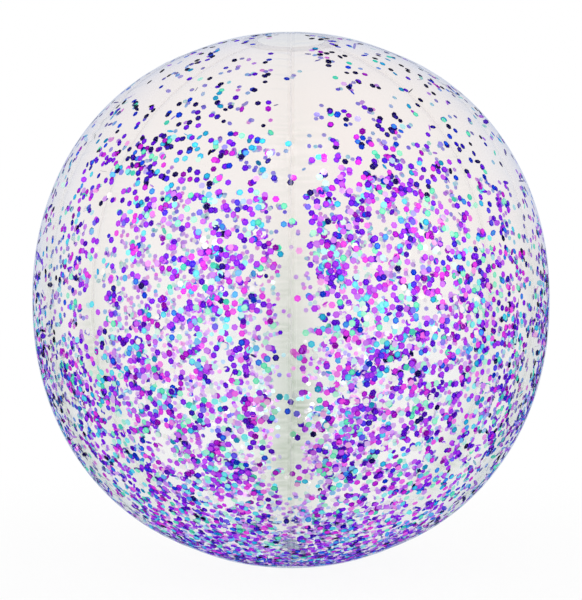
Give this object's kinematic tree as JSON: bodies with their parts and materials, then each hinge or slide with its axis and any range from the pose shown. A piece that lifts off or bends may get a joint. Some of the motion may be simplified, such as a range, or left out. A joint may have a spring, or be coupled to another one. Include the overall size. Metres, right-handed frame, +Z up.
{
  "type": "beach ball",
  "caption": "Clear inflatable ball of welded film gores with round end patches, a push-in air valve with a hinged plug and a check flap, and loose glitter flakes inside.",
  "frame": {"origin": "middle of the inflated ball", "axes": "+Z up the pole axis from the valve to the plain end patch, -Y through the front seam"},
  "size_m": [0.4, 0.4, 0.411],
  "materials": {
    "film": "clear soft PVC film, glossy",
    "patch_film": "clear soft PVC film, glossy, welded",
    "valve": "clear moulded soft PVC, satin",
    "flake_violet": "foiled polyester glitter",
    "flake_magenta": "foiled polyester glitter",
    "flake_indigo": "foiled polyester glitter",
    "flake_blue": "foiled polyester glitter",
    "flake_cyan": "foiled polyester glitter",
    "flake_mint": "foiled polyester glitter",
    "flake_pearl": "foiled polyester glitter"
  },
  "bodies": {
    "ball": {"panel_front_right": "film", "panel_right": "film", "panel_back_right": "film", "panel_back_left": "film", "panel_left": "film", "panel_front_left": "film", "top_patch": "patch_film", "bottom_patch": "patch_film", "valve_flange": "valve", "valve_web": "valve", "violet_flakes": "flake_violet", "magenta_flakes": "flake_magenta", "indigo_flakes": "flake_indigo", "blue_flakes": "flake_blue", "cyan_flakes": "flake_cyan", "mint_flakes": "flake_mint", "pearl_flakes": "flake_pearl"},
    "stem": {"valve_stem": "valve"},
    "plug": {"valve_plug": "valve", "plug_strap": "valve"},
    "flap": {"check_flap": "valve"}
  },
  "joints": [
    {"name": "valve_pull", "type": "slide", "parent": "ball", "child": "stem", "axis": [0, 0, -1], "range_m": [0, 0.01], "deforming": ["valve_web"]},
    {"name": "plug_swing", "type": "hinge", "parent": "stem", "child": "plug", "pos_m": [0.0082, 0, -0.20286], "axis": [0, -1, 0], "range_deg": [0, 115]},
    {"name": "flap_swing", "type": "hinge", "parent": "stem", "child": "flap", "pos_m": [-0.006, 0, -0.18956], "axis": [0, -1, 0], "range_deg": [0, 65], "stiffness_Nm_per_rad": 0.0002}
  ]
}
